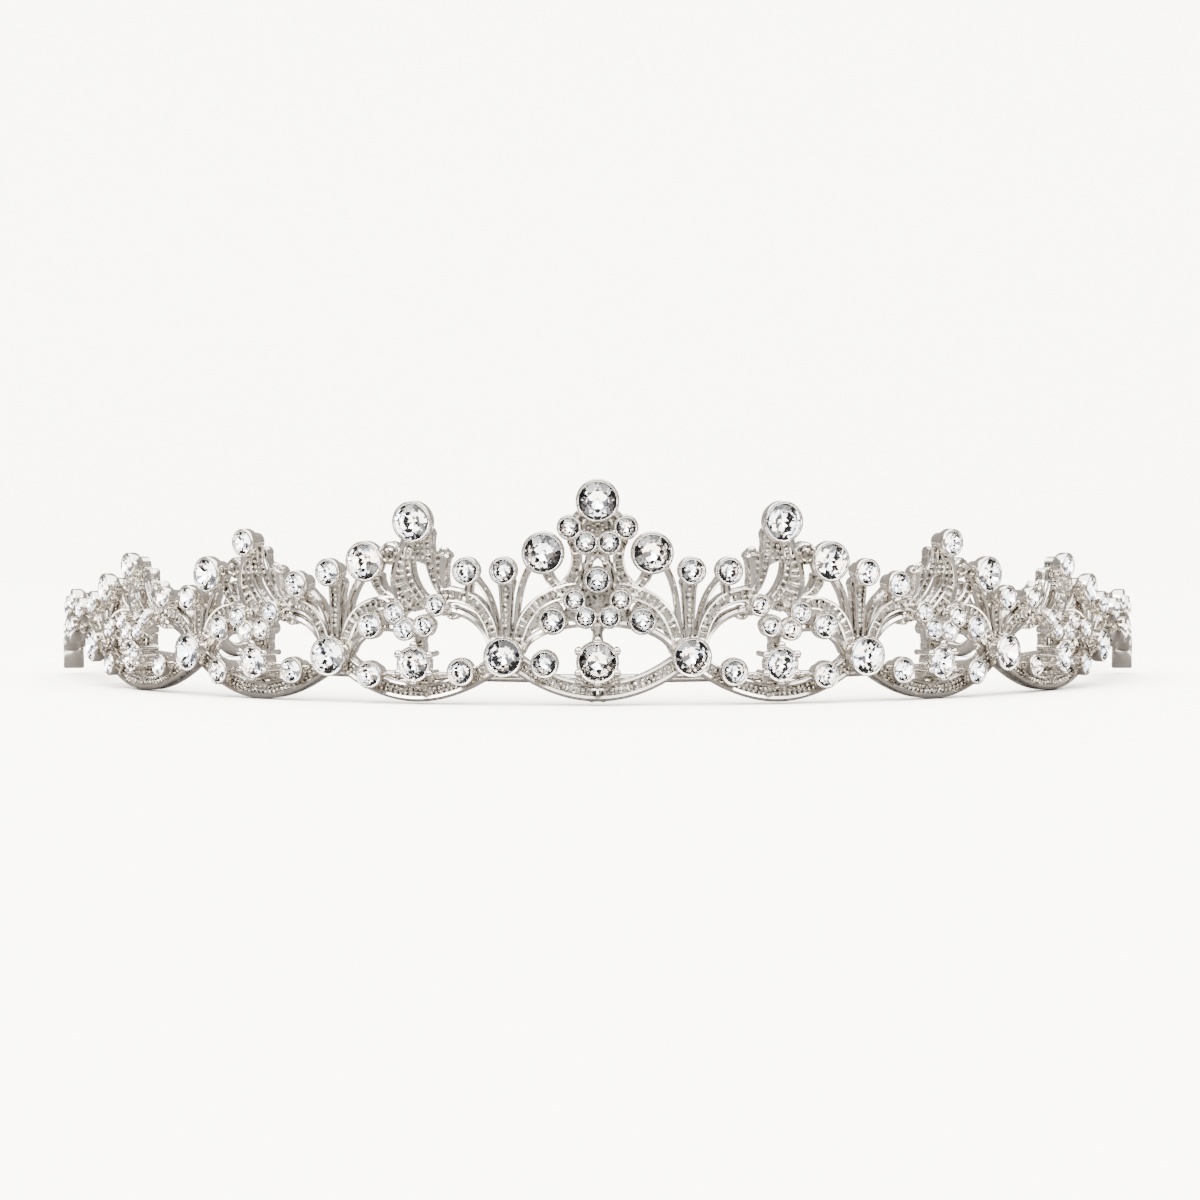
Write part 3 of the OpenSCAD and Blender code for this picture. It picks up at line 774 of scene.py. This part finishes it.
CENTRE_FILL = [(9.8, 0.9), (8.3, 3.1), (5.6, 3.6), (4.4, 4.4), (5.0, 6.6), (6.9, 6.7), (8.8, 4.9)]
SIDE_FILL = [(9.8, 0.9), (8.2, 3.2), (5.6, 3.4), (4.6, 4.2), (5.2, 6.0), (6.9, 6.2), (8.8, 4.6)]
UNDER_PEAK = [(-2.2, 11.2), (-1.9, 13.4), (-1.0, 15.8), (0.8, 15.8), (2.0, 13.4), (2.9, 11.2), (0.4, 11.9)]
plates.append(plate([spot(-1, u, v) for u, v in CENTRE_FILL], FACE - 0.07))
for i in (0, 1, 2):
    plates.append(plate([spot(i, u, v) for u, v in SIDE_FILL], FACE - 0.07))
    share = motif_k(i) * (1 + MOTIFS[i][0]) / 2
    shell = along(i, (-0.2, 6.2, 4.5, 10.0, 0.5, 15.2))
    plates.append(band(shell, 2.1 * share, 1.4 * share, FACE - 0.05))
    grains.append(repeated(bar_of(0.46, 1.6 * share, 0.5, FACE + 0.02), shell, 0.9, 0.03, seed=40 + i))
    plates.append(plate([spot(i, u, v) for u, v in UNDER_PEAK], FACE - 0.06))
    for k, v in enumerate((12.4, 13.2, 14.0)):
        row = [spot(i, u, v) for u in (-1.4, 0.3, 1.9)]
        grain = grain_of(0.58, 0.54, 0.6, FACE + 0.06)
        grains.append(repeated(grain, row, 0.68, 0.05, seed=70 + 3 * i + k))
    hook = along(i, (-3.5, 7.6, -2.7, 10.8, -3.0, 13.0))
    plates.append(band(hook, 1.2 * share, 1.4 * share, FACE - 0.05))
    rims += rims_along(hook, 1.2 * share, 1.4 * share)
    grains.append(repeated(bar_of(0.44, 0.8 * share, 0.5, FACE + 0.04), hook, 0.84, 0.03, seed=80 + i))
    rims += scroll(i, -3.5, 13.1, 0.75 * share, 0.3 * share, 200, -0.8)
    plates.append(disc(i, 3.8, 12.9, 1.5 * share, FACE - 0.04))
    rims += scroll(i, 3.8, 12.9, 1.35 * share, 0.45 * share, 200, -1.4)
    plates.append(disc(i, -4.6, 5.4, 0.95 * share, FACE - 0.04))
    rims += scroll(i, -4.6, 5.4, 0.85 * share, 0.4 * share, 60, 1.0, 0.18)
print("scrolls on the side motifs:", 3 * 2 * 3)

# %% [markdown]
# The middle motif is the showpiece: a flower of five stones round a star-shaped boss, a
# teardrop frame over it, a field of grains under the top stone, and a diamond-shaped lug from
# which the prong stone hangs. Outlines start just past the mirror line, so that the two halves
# run into each other without a seam.

# %% Ornaments of the middle motif
def flat(points):
    """Flat places of the middle motif's u and v."""
    return [(u, base_h(u) + v) for u, v in points]


TOP_GROUND = [(-0.3, 12.4), (1.5, 12.9), (3.5, 14.6), (3.7, 16.7), (2.2, 18.4), (-0.3, 18.8)]
TOP_ROWS = [(0.1, 16.6, 2.2, 15.4), (0.1, 15.9, 1.7, 15.2), (0.4, 17.2, 2.0, 17.4), (0.2, 13.4, 0.4, 12.7)]
FLOWER_GROUND = [(-0.3, 3.5), (2.0, 3.7), (4.2, 4.0), (4.4, 5.4), (3.4, 6.6), (2.6, 8.4), (-0.3, 9.4)]
STAR = [(-0.05, 8.2), (0.3, 7.5), (1.15, 7.55), (0.5, 6.85), (0.8, 5.9), (-0.05, 6.3)]
DIAMOND = [(-0.05, 4.5), (0.9, 3.2), (-0.05, 1.9)]
plates.append(plate(flat(TOP_GROUND), FACE - 0.05))
for k, (u0, v0, u1, v1) in enumerate(TOP_ROWS):
    row = flat([(u0, v0), ((u0 + u1) / 2, (v0 + v1) / 2), (u1, v1)])
    grain = grain_of(0.58, 0.54, 0.6, FACE + 0.06)
    grains.append(repeated(grain, row, 0.58, 0.05, seed=60 + k))
drop_path = flat([(0.0, 13.0), (0.75, 12.1), (1.75, 11.0), (2.25, 9.7), (1.9, 8.5)])
plates.append(band(drop_path, 0.9, 0.9, FACE - 0.02))
rims.append(rim(drop_path, 0.24, out=-0.06))
plates.append(plate(flat(FLOWER_GROUND), FACE - 0.06))
plates.append(plate(flat(STAR), FACE + 0.75, smooth=False))
plates.append(plate(flat(DIAMOND), FACE + 0.25, smooth=False))
for u, v, r0, start in ((2.0, -3.3, 0.5, 120), (4.6, 7.3, 0.6, 240)):
    rims += scroll(-1, u, v, r0, 0.28, start, 1.0, 0.17)
print("plates, rims and rows for one half:", len(plates), len(rims), len(grains))

# %% [markdown]
# The casting is now one half, lying flat, in three heaps: plates, polished rims, and grains with
# bars. Each heap becomes one piece, because each has its own finish. A Mirror modifier adds the
# left half, and the whole is bent only then, so that the mirror line stays straight.

# %% Join the casting, mirror it and bend it
casting = bent(both_sides(joined("casting_body", plates)))
casting_rims = bent(both_sides(joined("casting_rims", rims)))
casting_grains = bent(both_sides(joined("casting_grains", grains)))
for piece in (casting, casting_rims, casting_grains):
    print(piece.name, "faces:", len(piece.data.polygons))

# %% [markdown]
# A bezel is a cup whose lip is rolled over the stone's edge. A jeweller turns it on a lathe, and
# so does this cell: a profile from the foot, up the wall, over the lip and down into the seat
# goes round the z axis in a Screw modifier. Each size of cup is turned once and then copied. The
# faces inside the lip get the painted shade, all others the plate. Cups are placed one by one with
# the stones' matrix, because they stay round when the casting is bent.

# %% Turn the bezels on a lathe
def lathe(profile, steps):
    """Turns a profile of (radius, height) in mm round the z axis."""
    bpy.ops.curve.primitive_bezier_curve_add(location=(0, 0, 0))
    line = bpy.context.object
    line.data.resolution_u = 1
    spline = line.data.splines[0]
    spline.bezier_points.add(len(profile) - 2)
    for point, (r, z) in zip(spline.bezier_points, profile):
        point.co = Vector((r, 0, z)) * MM
        point.handle_left_type = point.handle_right_type = "VECTOR"
    alone(line)
    bpy.ops.object.convert(target="MESH")
    turn = line.modifiers.new("turn", "SCREW")
    turn.steps = turn.render_steps = steps
    bpy.ops.object.modifier_apply(modifier="turn")
    bpy.ops.object.mode_set(mode="EDIT")
    bpy.ops.mesh.select_all(action="SELECT")
    bpy.ops.mesh.remove_doubles(threshold=0.01 * MM)
    bpy.ops.mesh.normals_make_consistent(inside=False)
    bpy.ops.object.mode_set(mode="OBJECT")
    return line


def bezel(rad):
    """A cup for a stone of this radius. Its height 0 is where the stone's edge lies."""
    seat = -0.6 * rad
    return lathe([(0, -3.1), (0.8 * rad, -3.1), (0.86 * rad, -1.9), (rad + 0.2, -1.5), (rad + 0.34, -1.2),
                  (rad + 0.36, -0.3), (rad + 0.34, -0.06), (rad + 0.24, 0.06), (rad + 0.1, 0.07),
                  (rad + 0.02, -0.02), (rad - 0.02, -0.12), (0.74 * rad, seat), (0, seat)], 32)


masters, cups = {}, []
for s, h, rad in list(stones.values()) + small["left"] + small["right"]:
    size = round(rad, 2)
    if size not in masters:
        masters[size] = bezel(size)
        dress(masters[size], polished_rhodium, painted_cup_shade)
        for face in masters[size].data.polygons:
            # Faces inside the lip get the painted shade
            inside = math.hypot(face.center.x, face.center.y) < size * MM
            face.material_index = 1 if inside and face.center.z > -0.65 * size * MM else 0
    cups.append(copy_to(masters[size], outward(s, h, CUP_R)))
for master in masters.values():
    drop(master)
bezels = joined("bezels", cups)
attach(bezels, "root")
print("bezels:", len(cups), "of", len(masters), "sizes")

# %% [markdown]
# The prong stones have claws as well: rods up the side of the cup, each ending in a little ball
# that was melted over the stone's edge. One claw is turned and copied.

# %% Claws
claw = lathe([(0, -3), (0.36, -3), (0.36, -0.5), (0.42, -0.34), (0.52, -0.12), (0.55, 0.08), (0.48, 0.3),
              (0.3, 0.46), (0, 0.52)], 14)
claws = []
for name in prong_names:
    s, h, rad = stones[name]
    for k in range(6):
        a = math.radians(30 + 60 * k)
        reach = Vector((math.cos(a), math.sin(a), 0)) * (rad + 0.42) * MM
        claws.append(copy_to(claw, outward(s, h, CUP_R - 0.05) @ Matrix.Translation(reach)))
print("claws:", len(claws))
drop(claw)
claws = joined("claws", claws)
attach(claws, "root")

# %% [markdown]
# The casting ends on each side in a small flat lug with a hole, and near the fourth junction a
# leaf-shaped clip reaches in under the strip. The lug is a block with soft edges, drilled by a
# Boolean modifier. The clip is a ball pressed flat to a leaf, with a ring at its tip.

# %% End lugs and leaf clips
parts = []
for side in (-1, 1):
    s = side * (JOINTS[4] * ARC + 1.2)
    block = Matrix.Diagonal((1.1 * MM, 4.2 * MM, 2.8 * MM, 1))
    bpy.ops.mesh.primitive_cube_add(size=1)
    lug = bpy.context.object
    lug.matrix_world = outward(s, base_h(s) - 2.2, RIM_R + 1.1) @ block
    settle(lug)
    bpy.ops.object.mode_set(mode="EDIT")
    bpy.ops.mesh.select_all(action="SELECT")
    bpy.ops.mesh.bevel(offset=0.22 * MM, segments=2, affect="EDGES")
    bpy.ops.object.mode_set(mode="OBJECT")
    bpy.ops.mesh.primitive_cylinder_add(vertices=16, radius=0.3 * MM, depth=3 * MM)
    drill = bpy.context.object
    drill.matrix_world = (outward(s, base_h(s) - 1.6, RIM_R + 1.1)
                          @ Matrix.Rotation(math.radians(90), 4, "Y"))
    settle(drill)
    alone(lug)
    hole = lug.modifiers.new("hole", "BOOLEAN")
    hole.object = drill
    hole.operation = "DIFFERENCE"
    bpy.ops.object.modifier_apply(modifier="hole")
    drop(drill)
    parts.append(lug)
lugs = joined("end_lugs", parts)
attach(lugs, "root")
parts = []
CLIP_H = -0.98
for side in (-1, 1):
    s = side * (JOINTS[3] - 1) * ARC
    leaf = Matrix.Diagonal((0.8 * MM, 0.34 * MM, 2.1 * MM, 1))
    bpy.ops.mesh.primitive_uv_sphere_add(segments=20, ring_count=10, radius=1)
    blade = bpy.context.object
    blade.matrix_world = outward(s, CLIP_H, BACK_R - 1.2) @ leaf
    settle(blade)
    bpy.ops.mesh.primitive_torus_add(major_radius=0.65 * MM, minor_radius=0.3 * MM, major_segments=24,
                                     minor_segments=10)
    eye = bpy.context.object
    eye.matrix_world = outward(s, CLIP_H, BACK_R - 3.7) @ Matrix.Rotation(math.radians(90), 4, "X")
    settle(eye)
    parts += [blade, eye]
clips = joined("leaf_clips", parts)
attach(clips, "root")
print("faces of lugs and clips:", len(lugs.data.polygons), len(clips.data.polygons))

# %% [markdown]
# Round things get smooth shading up to 40 degrees, so that a plate's edges stay crisp. Cut stones
# get none, because their facets have to stay flat. The body then stands for the nine packed
# castings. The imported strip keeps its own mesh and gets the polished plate.

# %% Shade and plate the casting
for piece in (casting, casting_rims, casting_grains, bezels, claws, lugs, clips):
    alone(piece)
    bpy.ops.object.shade_smooth_by_angle(angle=math.radians(40))
dress(casting, cast_rhodium)
for piece in (casting_rims, casting_grains, claws, lugs, clips):
    dress(piece, polished_rhodium)
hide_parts(*[name for name in nodes if name.startswith("casting")])
dress(nodes["headband"], polished_rhodium)
print("packed castings replaced:", sum(name.startswith("casting") for name in nodes))

# %% [markdown]
# The photograph is a catalogue picture on a plain pale ground. A sheet of paper that turns up
# behind the crown in one sweep has no edge to show. It is a plane whose back edge is extruded
# upwards and then bevelled widely.

# %% Floor and backdrop
paper, shader = material_of("pale_paper")
shader.inputs["Roughness"].default_value = 0.9
place = node(paper, "ShaderNodeTexCoord")
# A mottling about 17 mm across, too faint to see as a pattern
fibre = node(paper, "ShaderNodeTexNoise", [(place, "Object", "Vector")], Scale=60, Detail=2)
tone = node(paper, "ShaderNodeMix", [(fibre, "Fac", "Factor")], data_type="RGBA")
tone.inputs["A"].default_value = linear("#F7F4EB")
tone.inputs["B"].default_value = linear("#F9F6EE")
paper.node_tree.links.new(tone.outputs["Result"], shader.inputs["Base Color"])
bpy.ops.mesh.primitive_plane_add(size=4, location=(0, -0.6, 0))
floor = bpy.context.object
floor.name = "floor"
bpy.ops.object.mode_set(mode="EDIT")
bpy.ops.mesh.select_mode(type="EDGE")
bpy.ops.mesh.select_all(action="DESELECT")
bpy.ops.object.mode_set(mode="OBJECT")
for edge in floor.data.edges:
    edge.select = all(floor.data.vertices[v].co.y > 1.9 for v in edge.vertices)
bpy.ops.object.mode_set(mode="EDIT")
bpy.ops.mesh.extrude_region_move(TRANSFORM_OT_translate={"value": (0, 0, 2.5)})
bpy.ops.object.mode_set(mode="OBJECT")
for edge in floor.data.edges:
    ends = [floor.data.vertices[v].co for v in edge.vertices]
    edge.select = all(end.y > 1.9 and end.z < 0.1 for end in ends)
bpy.ops.object.mode_set(mode="EDIT")
bpy.ops.mesh.bevel(offset=0.9, segments=16, affect="EDGES")
bpy.ops.object.mode_set(mode="OBJECT")
bpy.ops.object.shade_smooth()
dress(floor, paper)
print("floor and backdrop:", [round(d, 2) for d in floor.dimensions])

# %% [markdown]
# A mirror only shows what stands round it, so bright metal is lit by big soft lamps: a large one
# overhead, a soft one in front that the stones throw back, a key and a small fill. The light on
# the paper comes from a broad sun through a window, which the metal doesn't mirror. Two dark
# flags at the sides, out of the camera's view, give the metal its dark lines.

# %% Lamps and flags
world = bpy.data.worlds.new("studio")
bpy.context.scene.world = world
world.use_nodes = True
sky = world.node_tree.nodes["Background"]
sky.inputs["Color"].default_value = linear("#F4F5F7")
sky.inputs["Strength"].default_value = 0.55
CROWN = Vector((0, 0, 0.02))


def lamp(name, place, size, power):
    """A soft box at this place, turned to the crown. Size is in metres, power in watts."""
    bpy.ops.object.light_add(type="AREA", location=place)
    light = bpy.context.object
    light.name = name
    light.data.shape = "RECTANGLE"
    light.data.size, light.data.size_y = size
    light.data.energy = power
    light.rotation_euler = (CROWN - Vector(place)).to_track_quat("-Z", "Y").to_euler()


lamp("key", (-0.5, -0.7, 0.8), (0.8, 0.6), 22)
lamp("fill", (0.7, -0.5, 0.5), (0.3, 0.5), 6)
lamp("top", (0, 0, 1.0), (1.8, 1.2), 50)
lamp("front_soft", (0, -0.88, 0.86), (2.2, 0.75), 26)
bpy.ops.object.light_add(type="SUN", location=(0, 0, 2))
window = bpy.context.object
window.name = "window"
window.data.energy = 17
window.data.angle = math.radians(70)
window.visible_glossy = False
window.rotation_euler = (math.radians(38), math.radians(-8), 0)
dark_cloth, shader = material_of("dark_flag_cloth")
shader.inputs["Base Color"].default_value = linear("#2A2B2E")
shader.inputs["Roughness"].default_value = 0.95
for name, place in (("flag_left", (-0.55, -0.25, 0.12)), ("flag_right", (0.55, -0.22, 0.12))):
    bpy.ops.mesh.primitive_plane_add(size=1, location=place)
    flag = bpy.context.object
    flag.name = name
    flag.scale = (0.12, 0.35, 1)
    flag.rotation_euler = (Vector((0, -0.05, 0.02)) - Vector(place)).to_track_quat("Z", "Y").to_euler()
    dress(flag, dark_cloth)
    flag.visible_camera = False

# %% [markdown]
# Upright silver shows the table in front of it. On a white table it would turn as white as the
# background and lose its edges, so a photographer lays grey card round it, just out of sight.
# Here one card lies under the crown, a second lies round it, and a half round screen stands
# behind, and only reflections see them. The strip of white table left between the two cards
# draws a bright line along each rim and lights the stones from below.

# %% Grey card round the crown
bpy.ops.mesh.primitive_circle_add(vertices=48, radius=0.083, fill_type="NGON",
                                  location=(0, AXIS_Y, 0.01 * MM))
under = bpy.context.object
under.name = "grey_card_under"
bpy.ops.mesh.primitive_circle_add(vertices=48, radius=0.094, location=(0, AXIS_Y, 0.01 * MM))
card = bpy.context.object
card.name = "grey_card_round"
bpy.ops.object.mode_set(mode="EDIT")
bpy.ops.mesh.select_all(action="SELECT")
bpy.ops.mesh.extrude_edges_move()
bpy.ops.transform.resize(value=(15, 15, 1))
bpy.ops.object.mode_set(mode="OBJECT")
grey_card, shader = material_of("grey_card")
shader.inputs["Base Color"].default_value = linear("#4A4745")
shader.inputs["Roughness"].default_value = 0.95
bpy.ops.mesh.primitive_cylinder_add(vertices=48, radius=0.46, depth=0.6, end_fill_type="NOTHING",
                                    location=(0, AXIS_Y, 0.3))
screen = bpy.context.object
screen.name = "grey_screen"
bpy.ops.object.mode_set(mode="EDIT")
bpy.ops.mesh.select_mode(type="VERT")
bpy.ops.mesh.select_all(action="DESELECT")
bpy.ops.object.mode_set(mode="OBJECT")
for vertex in screen.data.vertices:
    vertex.select = vertex.co.y < -0.01
bpy.ops.object.mode_set(mode="EDIT")
bpy.ops.mesh.delete(type="VERT")
bpy.ops.object.mode_set(mode="OBJECT")
for sheet in (under, card, screen):
    dress(sheet, grey_card)
    sheet.visible_camera = False
    sheet.visible_diffuse = False
    sheet.visible_shadow = False
    sheet.visible_transmission = False
print("grey card on the floor, width in m:", round(card.dimensions.x, 2))
print("grey screen behind the crown, height in m:", round(screen.dimensions.z, 2))

# %% [markdown]
# A long lens about 74 cm away keeps the perspective of the photograph, in which the crown fills
# nearly the whole width. The photograph looks up at the crown from below the band. A camera
# can't stand below the table, so this one is 2.5 degrees above it, as low as it can be.

# %% Camera
bpy.ops.object.camera_add(location=(0, 0, 0))
camera = bpy.context.object
camera.data.lens = 160.6
camera.data.sensor_width = 36
camera.data.clip_start = 0.01
camera.data.clip_end = 20
elevation = math.radians(2.5)
distance = 0.742
target = Vector((0.0003, AXIS_Y, 0.0102))
camera.location = target + distance * Vector((0, -math.cos(elevation), math.sin(elevation)))
camera.rotation_euler = (target - camera.location).to_track_quat("-Z", "Y").to_euler()
bpy.context.scene.camera = camera
print("camera:", [round(c, 3) for c in camera.location])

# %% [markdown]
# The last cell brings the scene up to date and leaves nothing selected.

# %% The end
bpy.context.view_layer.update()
bpy.ops.object.select_all(action="DESELECT")
